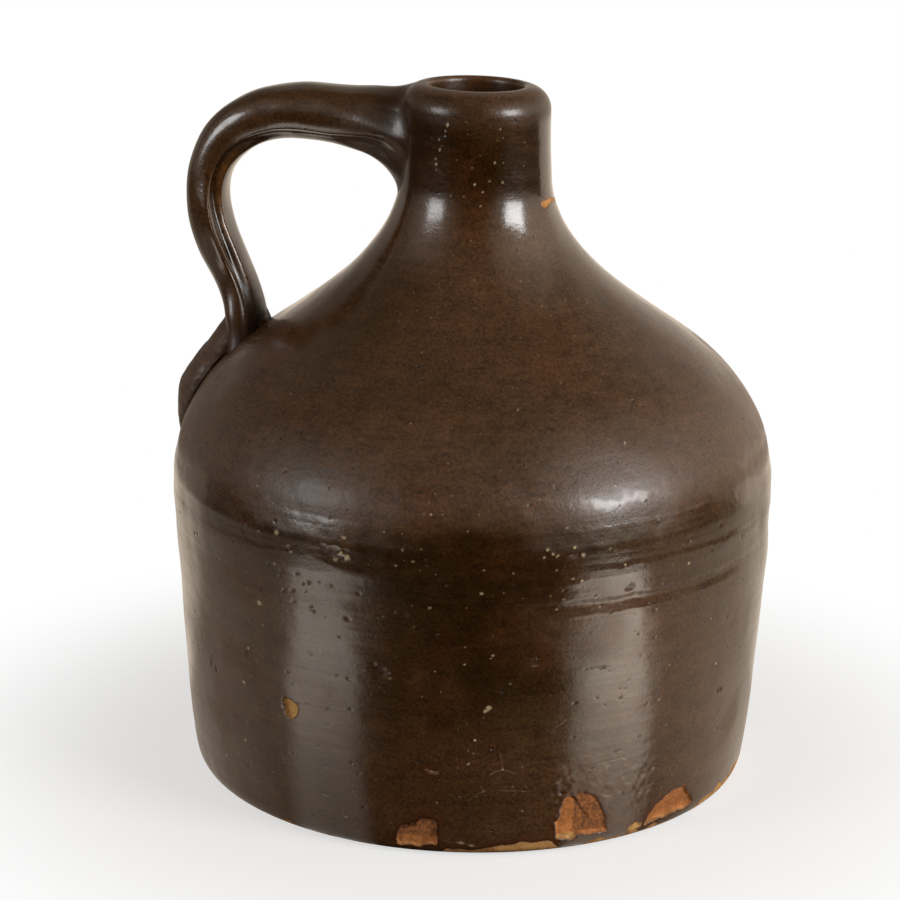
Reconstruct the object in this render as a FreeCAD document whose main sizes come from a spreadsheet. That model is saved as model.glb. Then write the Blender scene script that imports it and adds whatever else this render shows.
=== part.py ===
import FreeCAD, Part
import math
import os
import Sketcher

# A small beehive jug of brown glazed stoneware: a straight, slightly tapering lower wall,
# a raised belt, a domed shoulder, a narrow neck with a rounded lip, and one pulled loop
# handle that runs from the neck to a smear of clay on the shoulder.  It is thrown and
# luted together before firing, so it is one piece and one solid.
#
# Frame: millimetres, +Z up, the origin in the middle of the foot, the handle towards -X.

# ---------------------------------------------------------------- driving dimensions
SIZES = [
    # the belt, where the pot is widest, with a groove below and above it
    ("pot_radius", 85.3),
    ("belt_low", 76.0),
    ("belt_width", 10.0),
    ("groove_width", 2.6),
    ("groove_depth", 0.9),
    # the lower wall, which stands inside the belt and narrows to the foot
    ("wall_set_in", 0.4),
    ("wall_taper", 5.3),
    ("foot_round", 3.6),
    # the shoulder: a round about a circle inside the pot, then a straight slope
    ("shoulder_set_in", 0.3),
    ("shoulder_dip", 1.6),
    ("shoulder_round", 43.2),
    ("shoulder_slope", 36.3),
    ("shoulder_rise", 93.4),
    # the neck and its lip
    ("neck_radius", 20.6),
    ("neck_length", 19.6),
    ("lip_round", 4.7),
    # the inside
    ("bore_radius", 12.9),
    ("mouth_round", 2.6),
    ("wall", 7.8),
    ("floor_thickness", 9.0),
    ("floor_round", 9.0),
    # the handle's middle line: its crest below the lip, its widest point below the crest,
    # and where on the shoulder's round it ends, in degrees above level
    ("crest_drop", 11.8),
    ("belly_drop", 23.6),
    ("handle_reach", 77.8),
    ("foot_angle", 50.5),
    # the handle's section: how thick it is, and how much wider than thick
    ("handle_thickness", 11.6),
    ("handle_spread", 6.4),
    # the smear of clay under the handle
    ("tail_width", 17.0),
    ("tail_proud", 7.4),
    ("tail_bedded", 3.0),
]

# What follows from them: the neck's bore and the pot's wall are as thick as those say, so
# the lip's two rounds are held to what fits between the bore and the outside.
FITTED = [
    ("wall_top_radius", "pot_radius - wall_set_in"),
    ("foot_radius", "wall_top_radius - wall_taper"),
    ("belt_high", "belt_low + belt_width"),
    ("shoulder_centre", "pot_radius - shoulder_set_in - shoulder_round"),
    ("shoulder_height", "belt_high - shoulder_dip"),
    ("neck_low", "shoulder_height + shoulder_rise"),
    ("jug_height", "neck_low + neck_length"),
    ("neck_wall", "neck_radius - bore_radius"),
    ("lip_fit", "min(lip_round; 0.62 * neck_wall)"),
    ("mouth_fit", "min(mouth_round; 0.35 * neck_wall)"),
    ("handle_crest", "jug_height - crest_drop"),
    ("belly_height", "handle_crest - belly_drop"),
    ("foot_reach", "shoulder_centre + (shoulder_round - wall / 2) * cos(foot_angle * 1 deg)"),
    ("foot_height", "shoulder_height + (shoulder_round - wall / 2) * sin(foot_angle * 1 deg)"),
]

# The handle's sections from its root, half way into the neck's wall, to its widest point:
# (share of the way out from the neck's surface, share of the way down from the crest,
# share of the handle's thickness, share of its spread).  The root starts inside the wall.
UPPER_STATIONS = [
    (0.062, 0.164, 2.02, 0.62),
    (0.168, 0.082, 1.74, 0.56),
    (0.292, 0.035, 1.48, 0.52),
    (0.442, 0.000, 1.38, 0.48),
    (0.618, 0.018, 1.33, 0.46),
    (0.764, 0.126, 1.28, 0.49),
    (0.884, 0.331, 1.22, 0.60),
    (0.967, 0.638, 1.14, 0.75),
    (1.000, 1.000, 1.09, 0.84),
]
ROOT_STATION = (0.269, 2.30, 0.75)

# And on from there to its foot, half way into the shoulder's wall: (share of the way out
# from the foot, share of the way up from the foot, thickness, spread).
LOWER_STATIONS = [
    (0.91, 0.810, 1.06, 0.83),
    (0.60, 0.620, 1.05, 0.77),
    (0.25, 0.451, 0.98, 0.81),
    (0.01, 0.302, 0.92, 0.92),
    (-0.03, 0.156, 0.86, 1.08),
    (0.00, 0.000, 0.80, 1.14),
]

# The smear's sections, down the shoulder from under the handle: (angle up the shoulder's
# round in degrees, share of the smear's width, share of its height above the shoulder).
TAIL_STATIONS = [
    (55.0, 0.80, 0.50),
    (47.0, 0.92, 0.88),
    (38.0, 1.00, 1.00),
    (28.0, 1.00, 0.86),
    (17.0, 0.84, 0.62),
    (6.0, 0.50, 0.24),
]

doc = FreeCAD.newDocument("BeehiveJug")
sheet = doc.addObject("Spreadsheet::Sheet", "Sizes")
for row, (alias, value) in enumerate(SIZES, start=1):
    sheet.set("A%d" % row, alias)
    sheet.set("B%d" % row, str(value))
    sheet.setAlias("B%d" % row, alias)
for row, (alias, formula) in enumerate(FITTED, start=len(SIZES) + 2):
    sheet.set("A%d" % row, alias)
    sheet.set("B%d" % row, "=" + formula)
    sheet.setAlias("B%d" % row, alias)
doc.recompute()

START, END, CENTRE = 1, 2, 3
ORIGIN = (-1, 1)


def size(alias):
    """The value of one dimension of the sheet."""
    return float(getattr(sheet, alias))


def plane(body, role):
    """One of the body's own origin planes."""
    for feature in body.Origin.OriginFeatures:
        if feature.Role == role:
            return feature
    raise ValueError(role)


def new_sketch(body, name, role):
    """An empty sketch flat on one of the body's origin planes."""
    sketch = body.newObject("Sketcher::SketchObject", name)
    sketch.AttachmentSupport = [(plane(body, role), "")]
    sketch.MapMode = "FlatFace"
    return sketch


def bind(sketch, label, constraint, expression):
    """Add one measured constraint and drive it from the sheet."""
    index = sketch.addConstraint(constraint)
    sketch.renameConstraint(index, label)
    sketch.setExpression("Constraints." + label, expression)


def line(sketch, start, end):
    """A straight edge between two points of a sketch."""
    first = FreeCAD.Vector(start[0], start[1], 0)
    last = FreeCAD.Vector(end[0], end[1], 0)
    return sketch.addGeometry(Part.LineSegment(first, last), False)


def arc(sketch, centre, radius, low, high):
    """A round edge, anticlockwise from one angle to another, in degrees."""
    circle = Part.Circle(FreeCAD.Vector(centre[0], centre[1], 0), FreeCAD.Vector(0, 0, 1), radius)
    edge = Part.ArcOfCircle(circle, math.radians(low), math.radians(high))
    return sketch.addGeometry(edge, False)


def join(sketch, first, second):
    """Two edges that meet at a corner."""
    sketch.addConstraint(Sketcher.Constraint("Coincident", *first, *second))


def flow(sketch, first, second):
    """Two edges that meet smoothly."""
    sketch.addConstraint(Sketcher.Constraint("Tangent", *first, *second))


def pin(sketch, label, point, across, upward):
    """Hold one drawn point of a sketch at a distance across and up from the origin."""
    drawn = sketch.getPoint(*point)
    if across:
        bind(sketch, label + "_x",
             Sketcher.Constraint("DistanceX", *ORIGIN, *point, drawn.x), across)
    if upward:
        bind(sketch, label + "_y",
             Sketcher.Constraint("DistanceY", *ORIGIN, *point, drawn.y), upward)


# ---------------------------------------------------------------- the thrown pot
def shared_normal(first, first_radius, second, second_radius, side):
    """The angle, in degrees, at which one straight line touches two circles.

    It is measured at both centres.  A hollow round, whose centre is on the line's other
    side, has a negative radius, and a bare point has none.
    """
    run, rise = second[0] - first[0], second[1] - first[1]
    lean = math.acos((first_radius - second_radius) / math.hypot(run, rise))
    return math.degrees(math.atan2(rise, run) + side * lean)


def on_round(centre, radius, angle):
    """A point on a circle."""
    swing = math.radians(angle)
    return (centre[0] + radius * math.cos(swing), centre[1] + radius * math.sin(swing))


def throat_radius(middle, dome, lean):
    """The hollow round that leads from the shoulder's slope into the upright neck."""
    swing = math.radians(lean)
    inward = (size("neck_radius") - middle[0]) * math.cos(swing)
    upward = (size("neck_low") - middle[1]) * math.sin(swing)
    return (inward + upward - dome) / (1 - math.cos(swing))


def pot_profile(body):
    """Half the pot cut through its axis: out along the foot, up the outside, over the
    lip, down the bore and the inside wall, and back along the floor."""
    sketch = new_sketch(body, "PotProfile", "XZ_Plane")
    foot, heel_round = size("foot_radius"), size("foot_round")
    belt, low, high = size("pot_radius"), size("belt_low"), size("belt_high")
    groove = size("groove_width")
    groove_floor = belt - size("groove_depth")
    dome, slope = size("shoulder_round"), size("shoulder_slope")
    neck, bend, top, lip = size("neck_radius"), size("neck_low"), size("jug_height"), size("lip_fit")
    bore, mouth, wall = size("bore_radius"), size("mouth_fit"), size("wall")
    floor, cove = size("floor_thickness"), size("floor_round")

    middle = (size("shoulder_centre"), size("shoulder_height"))
    cone_lean = 90 - slope
    sweep = throat_radius(middle, dome, cone_lean)
    swing = (neck + sweep, bend)
    inner_sweep = sweep + neck - bore
    heel_centre = (foot - heel_round, heel_round)
    corner_centre = (foot - wall - cove, floor + cove)
    wall_top = (size("wall_top_radius"), low - groove)
    shoulder_start = math.degrees(math.asin((high + groove - middle[1]) / dome))
    side_lean = shared_normal(heel_centre, heel_round, wall_top, 0, -1)
    inner_cone_lean = shared_normal(middle, dome - wall, swing, -inner_sweep, -1)
    inner_side_lean = shared_normal(middle, dome - wall, corner_centre, cove, 1)

    under = line(sketch, (0, 0), (heel_centre[0], 0))
    heel = arc(sketch, heel_centre, heel_round, -90, side_lean)
    side = line(sketch, on_round(heel_centre, heel_round, side_lean), wall_top)
    notch_in = line(sketch, wall_top, (groove_floor, low - groove / 2))
    notch_out = line(sketch, (groove_floor, low - groove / 2), (belt, low))
    band = line(sketch, (belt, low), (belt, high))
    crease_in = line(sketch, (belt, high), (groove_floor, high + groove / 2))
    crease_out = line(sketch, (groove_floor, high + groove / 2),
                      on_round(middle, dome, shoulder_start))
    shoulder = arc(sketch, middle, dome, shoulder_start, cone_lean)
    cone = line(sketch, on_round(middle, dome, cone_lean), on_round(swing, -sweep, cone_lean))
    throat = arc(sketch, swing, sweep, 180, 180 + cone_lean)
    collar = line(sketch, (neck, bend), (neck, top - lip))
    lip_edge = arc(sketch, (neck - lip, top - lip), lip, 0, 90)
    rim = line(sketch, (neck - lip, top), (bore + mouth, top))
    mouth_edge = arc(sketch, (bore + mouth, top - mouth), mouth, 90, 180)
    shaft = line(sketch, (bore, top - mouth), (bore, bend))
    inner_throat = arc(sketch, swing, inner_sweep, 180, 180 + inner_cone_lean)
    inner_cone = line(sketch, on_round(swing, -inner_sweep, inner_cone_lean),
                      on_round(middle, dome - wall, inner_cone_lean))
    inner_shoulder = arc(sketch, middle, dome - wall, inner_side_lean, inner_cone_lean)
    inner_side = line(sketch, on_round(middle, dome - wall, inner_side_lean),
                      on_round(corner_centre, cove, inner_side_lean))
    corner = arc(sketch, corner_centre, cove, -90, inner_side_lean)
    inner_floor = line(sketch, (corner_centre[0], floor), (0, floor))
    axis = line(sketch, (0, floor), (0, 0))

    join(sketch, (under, START), ORIGIN)
    flow(sketch, (under, END), (heel, START))
    flow(sketch, (heel, END), (side, START))
    join(sketch, (side, END), (notch_in, START))
    join(sketch, (notch_in, END), (notch_out, START))
    join(sketch, (notch_out, END), (band, START))
    join(sketch, (band, END), (crease_in, START))
    join(sketch, (crease_in, END), (crease_out, START))
    join(sketch, (crease_out, END), (shoulder, START))
    flow(sketch, (shoulder, END), (cone, START))
    flow(sketch, (cone, END), (throat, END))
    flow(sketch, (throat, START), (collar, START))
    flow(sketch, (collar, END), (lip_edge, START))
    flow(sketch, (lip_edge, END), (rim, START))
    flow(sketch, (rim, END), (mouth_edge, START))
    flow(sketch, (mouth_edge, END), (shaft, START))
    flow(sketch, (shaft, END), (inner_throat, START))
    flow(sketch, (inner_throat, END), (inner_cone, START))
    flow(sketch, (inner_cone, END), (inner_shoulder, END))
    flow(sketch, (inner_shoulder, START), (inner_side, START))
    flow(sketch, (inner_side, END), (corner, END))
    flow(sketch, (corner, START), (inner_floor, START))
    join(sketch, (inner_floor, END), (axis, START))
    join(sketch, (axis, END), ORIGIN)
    for level in (under, rim, inner_floor):
        sketch.addConstraint(Sketcher.Constraint("Horizontal", level))
    for upright in (band, collar, shaft, axis):
        sketch.addConstraint(Sketcher.Constraint("Vertical", upright))
    join(sketch, (inner_throat, CENTRE), (throat, CENTRE))
    join(sketch, (inner_shoulder, CENTRE), (shoulder, CENTRE))

    radii = (
        ("heel", heel, "Sizes.foot_round"),
        ("shoulder", shoulder, "Sizes.shoulder_round"),
        ("lip", lip_edge, "Sizes.lip_fit"),
        ("mouth", mouth_edge, "Sizes.mouth_fit"),
        ("inner_shoulder", inner_shoulder, "Sizes.shoulder_round - Sizes.wall"),
        ("corner", corner, "Sizes.floor_round"),
    )
    for label, geometry, expression in radii:
        drawn = sketch.Geometry[geometry].Radius
        bind(sketch, label + "_radius", Sketcher.Constraint("Radius", geometry, drawn), expression)
    groove_reach = "Sizes.pot_radius - Sizes.groove_depth"
    pin(sketch, "heel", (heel, CENTRE), "Sizes.foot_radius - Sizes.foot_round", None)
    pin(sketch, "wall_top", (side, END), "Sizes.wall_top_radius",
        "Sizes.belt_low - Sizes.groove_width")
    pin(sketch, "notch", (notch_out, START), groove_reach,
        "Sizes.belt_low - Sizes.groove_width / 2")
    pin(sketch, "band_low", (band, START), "Sizes.pot_radius", "Sizes.belt_low")
    pin(sketch, "band_high", (band, END), None, "Sizes.belt_high")
    pin(sketch, "crease", (crease_out, START), groove_reach,
        "Sizes.belt_high + Sizes.groove_width / 2")
    pin(sketch, "shoulder_start", (crease_out, END), None, "Sizes.belt_high + Sizes.groove_width")
    pin(sketch, "shoulder", (shoulder, CENTRE), "Sizes.shoulder_centre", "Sizes.shoulder_height")
    pin(sketch, "neck", (collar, START), "Sizes.neck_radius", "Sizes.neck_low")
    pin(sketch, "rim", (rim, START), None, "Sizes.jug_height")
    pin(sketch, "bore", (shaft, START), "Sizes.bore_radius", None)
    pin(sketch, "floor", (inner_floor, END), None, "Sizes.floor_thickness")
    pin(sketch, "corner", (corner, CENTRE),
        "Sizes.foot_radius - Sizes.wall - Sizes.floor_round", None)
    bind(sketch, "slope", Sketcher.Constraint("Angle", cone, math.radians(180 - slope)),
         "180 deg - Sizes.shoulder_slope * 1 deg")
    return sketch


# ---------------------------------------------------------------- the handle and its smear
def oval(body, name, thickness, width):
    """An oval section about its own origin, wide along Y: its two axes are driven from the
    sheet, and it is always wider than it is thick."""
    sketch = new_sketch(body, name, "XY_Plane")
    short = size("handle_thickness")
    long = short + size("handle_spread")
    shape = sketch.addGeometry(Part.Ellipse(
        FreeCAD.Vector(0, long / 2, 0), FreeCAD.Vector(short / 2, 0, 0), FreeCAD.Vector(0, 0, 0)), False)
    sketch.exposeInternalGeometry(shape)
    long_axis, short_axis = shape + 1, shape + 2
    join(sketch, (shape, CENTRE), ORIGIN)
    sketch.addConstraint(Sketcher.Constraint("Vertical", long_axis))
    bind(sketch, "across", Sketcher.Constraint("Distance", long_axis, long), width)
    bind(sketch, "through", Sketcher.Constraint("Distance", short_axis, short), thickness)
    return sketch


def stand(sketch, reach, height, turn):
    """Carry a section out beside the neck, up, and turn it about Y."""
    sketch.AttachmentOffset = FreeCAD.Placement(
        FreeCAD.Vector(0, 0, 0), FreeCAD.Rotation(FreeCAD.Vector(0, 1, 0), -90))
    sketch.setExpression(".AttachmentOffset.Base.x", "-(" + reach + ")")
    sketch.setExpression(".AttachmentOffset.Base.z", height)
    sketch.setExpression(".AttachmentOffset.Rotation.Angle", turn)


def handle_stations():
    """Every section of the handle, as the formulas of its reach, its height, its
    thickness and its spread."""
    drop, thickness, spread = ROOT_STATION
    rows = [("Sizes.neck_radius - Sizes.neck_wall / 2",
             "Sizes.handle_crest - %g * Sizes.belly_drop" % drop, thickness, spread)]
    for out, drop, thickness, spread in UPPER_STATIONS:
        reach = "Sizes.neck_radius + %g * (Sizes.handle_reach - Sizes.neck_radius)" % out
        height = "Sizes.handle_crest - %g * Sizes.belly_drop" % drop
        rows.append((reach, height, thickness, spread))
    for out, rise, thickness, spread in LOWER_STATIONS:
        reach = "Sizes.foot_reach + (%g) * (Sizes.handle_reach - Sizes.foot_reach)" % out
        height = "Sizes.foot_height + %g * (Sizes.belly_height - Sizes.foot_height)" % rise
        rows.append((reach, height, thickness, spread))
    return rows


def handle_sections(body):
    """One oval for each station, square to the middle line through its neighbours."""
    rows = handle_stations()
    sections = []
    for index, (reach, height, thickness, spread) in enumerate(rows):
        through = "%g * Sizes.handle_thickness" % thickness
        sketch = oval(body, "Handle%02d" % index, through,
                      "%s + %g * Sizes.handle_spread" % (through, spread))
        before = rows[max(index - 1, 0)]
        after = rows[min(index + 1, len(rows) - 1)]
        turn = "atan2((%s) - (%s); (%s) - (%s)) - 90 deg" % (
            after[1], before[1], after[0], before[0])
        stand(sketch, reach, height, turn)
        sections.append(sketch)
    return sections


def tail_sections(body):
    """Ovals half bedded in the shoulder, square to its round."""
    sections = []
    for index, (angle, width, proud) in enumerate(TAIL_STATIONS):
        above = "%g * Sizes.tail_proud" % proud
        sketch = oval(body, "Tail%02d" % index, "%s + Sizes.tail_bedded" % above,
                      "%g * Sizes.tail_width" % width)
        radius = "(Sizes.shoulder_round + (%s - Sizes.tail_bedded) / 2)" % above
        reach = "Sizes.shoulder_centre + %s * cos(%g deg)" % (radius, angle)
        height = "Sizes.shoulder_height + %s * sin(%g deg)" % (radius, angle)
        stand(sketch, reach, height, "%g deg - 180 deg" % angle)
        sections.append(sketch)
    return sections


def loft(body, name, sections):
    """A smooth skin of clay through a row of sections."""
    feature = body.newObject("PartDesign::AdditiveLoft", name)
    feature.Profile = (sections[0], [""])
    feature.Sections = [(section, [""]) for section in sections[1:]]
    feature.Ruled = False
    feature.Closed = False
    return feature


# ---------------------------------------------------------------- the jug
def make_jug():
    """The pot, its handle and the smear, as one body."""
    body = doc.addObject("PartDesign::Body", "Jug")
    body.Label = "jug"
    body.Placement = FreeCAD.Placement()
    profile = pot_profile(body)
    doc.recompute()
    pot = body.newObject("PartDesign::Revolution", "Pot")
    pot.Profile = (profile, [""])
    pot.ReferenceAxis = (profile, ["V_Axis"])
    pot.Angle = 360
    doc.recompute()
    handle = handle_sections(body)
    doc.recompute()
    loft(body, "HandleLoop", handle)
    doc.recompute()
    tail = tail_sections(body)
    doc.recompute()
    loft(body, "HandleSmear", tail)
    doc.recompute()
    return body


def check(document):
    """Stop if any object failed to build."""
    for item in document.Objects:
        if "Invalid" in item.State or "Error" in item.State:
            raise RuntimeError("%s failed: %s" % (item.Name, item.State))


def write(body):
    """Write one sub-part's solid, once it is known to be sound."""
    shape = body.Shape
    if shape.isNull() or not shape.isValid() or len(shape.Solids) != 1:
        raise RuntimeError("%s is not one valid solid" % body.Label)
    os.makedirs("parts", exist_ok=True)
    shape.exportStep("parts/%s.step" % body.Label)
    print("%s: %.3f litres of clay" % (body.Label, shape.Volume / 1.0e6))


jug = make_jug()
doc.recompute()
check(doc)
write(jug)
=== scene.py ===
import math

import bpy
import numpy as np
from mathutils import Matrix


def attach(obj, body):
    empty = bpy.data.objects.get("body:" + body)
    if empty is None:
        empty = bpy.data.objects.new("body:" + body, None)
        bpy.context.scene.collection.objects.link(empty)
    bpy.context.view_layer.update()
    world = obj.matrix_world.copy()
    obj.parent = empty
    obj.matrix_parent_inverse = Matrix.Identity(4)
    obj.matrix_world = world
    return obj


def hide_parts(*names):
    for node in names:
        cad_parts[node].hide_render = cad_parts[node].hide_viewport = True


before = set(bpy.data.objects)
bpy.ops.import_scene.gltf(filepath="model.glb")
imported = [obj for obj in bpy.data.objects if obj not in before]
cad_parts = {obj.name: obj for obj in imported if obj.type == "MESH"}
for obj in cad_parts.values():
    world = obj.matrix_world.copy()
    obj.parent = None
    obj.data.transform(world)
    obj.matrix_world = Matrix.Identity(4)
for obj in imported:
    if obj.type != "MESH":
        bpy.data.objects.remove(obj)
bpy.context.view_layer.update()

# All shapes are worked out in millimetres, and put into the meshes in metres.
# Angles round the jug are in degrees from +X towards +Y, so the handle is at 180.
METRE = 0.001
FRONT = -76.0  # the side that faces the camera
HANDLE = 180.0
WALL = 83.0  # radius of the wall, where the scratches are
HEEL = 80.5  # radius of the wall near the foot, where the flakes are
WIDEST = 85.28  # nothing on the belt stands further out than this
FURTHEST = 87.6  # nor the tail of the handle than this
DOME = (41.8, 84.4)  # centre of the shoulder's arc in the section
SWELL = 43.0  # radius of that arc
FLOOR = 9.0  # height of the floor inside
GLAZED = -4.0  # the mark "bare" well away from any flake
CLAY = 0.6  # the mark "pale" of plain clay
SQUARED = 2.0 / 2.4  # power that squares the handle's ovals a little
RUN_UP = 12.5  # how far before its first oval the handle starts


# ---- numbers
def step(x, low, high):
    """0 below low, 1 above high, and 3t^2 - 2t^3 between them."""
    t = np.clip((x - low) / (high - low), 0, 1)
    return t * t * (3 - 2 * t)


def bell(x, centre, width):
    """A round hill of height 1: exp(-((x - centre) / width)^2)."""
    return np.exp(-((x - centre) / width) ** 2)


def between(x, low, inner_low, inner_high, high):
    """0 outside low to high, 1 from inner_low to inner_high, and soft steps where they part."""
    return step(x, low, inner_low) * (1 - step(x, inner_high, high))


def rounded(x, power):
    """x with its size raised to power and its sign kept."""
    return np.sign(x) * np.abs(x) ** power


def unit(way):
    """way with its length made 1."""
    return way / np.maximum(np.linalg.norm(way, axis=-1, keepdims=True), 1e-9)


def lengths(points):
    """How far along a line of points each of them is."""
    return np.concatenate([[0], np.cumsum(np.linalg.norm(np.diff(points, axis=0), axis=1))])


def ripple(points, size, seed, waves=26):
    """Soft uneven relief of about unit height: the sum of cosine waves of length near size,
    each in its own random direction through the clay."""
    rng = np.random.default_rng(seed)
    way = unit(rng.normal(size=(waves, 3)))
    length = size * rng.uniform(0.7, 1.6, waves)
    start = rng.uniform(0, 2 * np.pi, waves)
    total = np.zeros(points.shape[:-1])
    for w, l, s in zip(way, length, start):
        total += np.cos(points @ w * (2 * np.pi / l) + s)
    return total * math.sqrt(2 / waves)


def ripples(points, *kinds):
    """Relief of several sizes: the sum of height * ripple over (size, seed, height) in kinds."""
    return sum(height * ripple(points, size, seed) for size, seed, height in kinds)


def through(knots, values, at):
    """The cubic curve through values at knots, straight at both ends: its second slopes m solve
    h0 m0 + 2 (h0 + h1) m1 + h1 m2 = 6 (change of slope)."""
    k = np.asarray(knots, float)
    v = np.asarray(values, float)
    v = v[:, None] if v.ndim == 1 else v
    n = len(k)
    h = np.diff(k)
    table = np.eye(n)
    right = np.zeros_like(v)
    slope = np.diff(v, axis=0) / h[:, None]
    for i in range(1, n - 1):
        table[i, i - 1:i + 2] = h[i - 1], 2 * (h[i - 1] + h[i]), h[i]
        right[i] = 6 * (slope[i] - slope[i - 1])
    m = np.linalg.solve(table, right)
    at = np.asarray(at, float)
    i = np.clip(np.searchsorted(k, at) - 1, 0, n - 2)
    a = ((k[i + 1] - at) / h[i])[:, None]
    b = ((at - k[i]) / h[i])[:, None]
    out = a * v[i] + b * v[i + 1]
    out += ((a ** 3 - a) * m[i] + (b ** 3 - b) * m[i + 1]) * (h[i] ** 2)[:, None] / 6
    return out


def away(angle, other):
    """The turn from other to angle, in degrees between -180 and 180."""
    return (np.asarray(angle) - other + 180) % 360 - 180


# ---- meshes
def placed(name, data):
    """A new object in the scene."""
    thing = bpy.data.objects.new(name, data)
    bpy.context.scene.collection.objects.link(thing)
    return thing


def skin(name, points, normals, marks, finish, caps=(None, None), flip=False):
    """A mesh of rows of points joined by four-sided faces, each row closed on itself. caps are points
    that close the first and the last row, and marks are named numbers at the points."""
    rows, columns = points.shape[:2]
    grid = np.arange(rows * columns).reshape(rows, columns)
    grid = np.hstack([grid, grid[:, :1]])
    a, b, c, d = grid[:-1, :-1], grid[:-1, 1:], grid[1:, 1:], grid[1:, :-1]
    quads = np.stack([a, b, c, d], axis=-1).reshape(-1, 4)
    flat = points.reshape(-1, 3)
    up = normals.reshape(-1, 3)
    tris = []
    for cap, edge in ((caps[0], grid[0, ::-1]), (caps[1], grid[-1])):
        if cap is None:
            continue
        tip = np.full(columns, len(flat))
        tris.append(np.stack([tip, edge[:-1], edge[1:]], axis=-1))
        flat = np.vstack([flat, cap[0]])
        up = np.vstack([up, cap[1]])
    tris = np.vstack(tris) if tris else np.zeros((0, 3), int)
    if flip:
        quads = quads[:, ::-1]
        tris = tris[:, ::-1]
    corners = np.concatenate([quads.ravel(), tris.ravel()]).astype(np.int32)
    starts = np.concatenate([np.arange(len(quads)) * 4,
                             len(quads) * 4 + np.arange(len(tris)) * 3]).astype(np.int32)
    mesh = bpy.data.meshes.new(name)
    mesh.vertices.add(len(flat))
    mesh.vertices.foreach_set("co", (flat * METRE).astype(np.float32).ravel())
    mesh.loops.add(len(corners))
    mesh.loops.foreach_set("vertex_index", corners)
    mesh.polygons.add(len(starts))
    mesh.polygons.foreach_set("loop_start", starts)
    mesh.update(calc_edges=True)
    mesh.validate()
    for label, values in marks.items():
        values = np.asarray(values, float).ravel()
        values = np.concatenate([values, np.full(len(flat) - len(values), values[-1])])
        layer = mesh.attributes.new(label, "FLOAT", "POINT")
        layer.data.foreach_set("value", values.astype(np.float32))
    mesh.shade_smooth()
    mesh.normals_split_custom_set_from_vertices(unit(up))
    mesh.materials.append(finish)
    piece = placed(name, mesh)
    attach(piece, "root")
    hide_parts("jug")


def squares(points):
    """Directions square to a closed grid: the cross product of its slopes down and along a row."""
    side = np.roll(points, -1, axis=1) - np.roll(points, 1, axis=1)
    return np.cross(np.gradient(points, axis=0), side)


def marked(points, **marks):
    """The marks of a piece of the handle at all its points, plain glaze where nothing is said."""
    marks = {"bare": GLAZED, "pale": CLAY, "deep": 0, "thin": 0, **marks}
    return {name: np.broadcast_to(value, points.shape[:-1]) for name, value in marks.items()}


# ---- profile of the pot
def arc(centre, radius, start, end, count=60):
    """Points on a circle from angle start to angle end, in degrees."""
    t = np.radians(np.linspace(start, end, count))
    return np.stack([centre[0] + radius * np.cos(t), centre[1] + radius * np.sin(t)], axis=1)


def outline():
    """The pot's section, (radius, height), from the middle of the underside out to the foot, up the
    wall, over the shoulder, up the neck, over the lip, down the bore and along the inside to the
    middle of the floor. A cubic curve through measured points gives the outside. The lip and the
    inside are arcs and straight runs."""
    under = np.array([(0, 0.9), (30, 0.9), (60, 0.8), (70, 0.5), (73.5, 0)])
    side = np.array([
        (75.3, 0.05), (76.7, 0.5), (78.2, 1.6), (79.1, 3.5), (79.75, 7), (80.35, 12.3), (81.2, 21.1),
        (81.9, 31.6), (82.7, 43.9), (83.25, 52.7), (83.8, 61), (84.3, 68.5), (84.45, 72),
        (84.75, 76.5), (84.95, 80), (84.95, 82.2), (84.85, 86), (84.7, 88.3), (84.4, 90),
        (83.65, 93.5), (82.85, 97), (82.3, 98.8), (81.45, 101), (79.3, 105),
        (74.1, 112.4), (66.8, 119.4), (57.2, 126.4), (47.1, 133.5), (38.2, 140.5), (31.2, 147.5),
        (26.1, 154.5), (22.75, 161.6), (21.35, 166.8), (20.95, 172.1), (20.75, 177.4),
        (20.6, 185), (20.6, 190)])
    run = lengths(side)
    side = through(run, side, np.linspace(0, run[-1], 1500))
    lip = arc((0, 0), 1, 0, 90)[1:] * (6.5, 6.2) + (14.1, 190)
    mouth = arc((0, 0), 1, 90, 180) * (1.2, 1.4) + (14.1, 194.8)
    throat = arc((68.4, 177.8), 55.5, 180, 233.7)
    dome = arc(DOME, 35.4, 53.7, 2)
    corner = arc((63.4, FLOOR + 9), 9, 0, -90)
    return np.vstack([under, side, lip, mouth, throat, dome, corner, [(0, FLOOR)]])


PROFILE = outline()
ALONG = lengths(PROFILE)


def reach(radius, height):
    """How far along the section the nearest point to (radius, height) is."""
    gap = (PROFILE[:, 0] - radius) ** 2 + (PROFILE[:, 1] - height) ** 2
    return ALONG[int(np.argmin(gap))]


FOOT = reach(73.5, 0)
RIM = reach(14.1, 196.2)
OUTER = np.flatnonzero((ALONG > FOOT) & (ALONG < RIM))


def section(along):
    """Radius, height and outward direction of the section at distances along it. The direction is
    the slope of the section over 0.6 mm, turned a quarter turn."""
    half = 0.3
    (r, r0, r1), (z, z0, z1) = ([np.interp(along + d, ALONG, PROFILE[:, i]) for d in (0, -half, half)]
                                for i in (0, 1))
    dr, dz = r1 - r0, z1 - z0
    size = np.hypot(dr, dz)
    return r, z, dz / size, -dr / size


def turned(r, z, turn):
    """The place (r, z) of the section, turned round the axis by turn, in radians."""
    return np.stack(np.broadcast_arrays(r * np.cos(turn), r * np.sin(turn), z), axis=-1)


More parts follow.
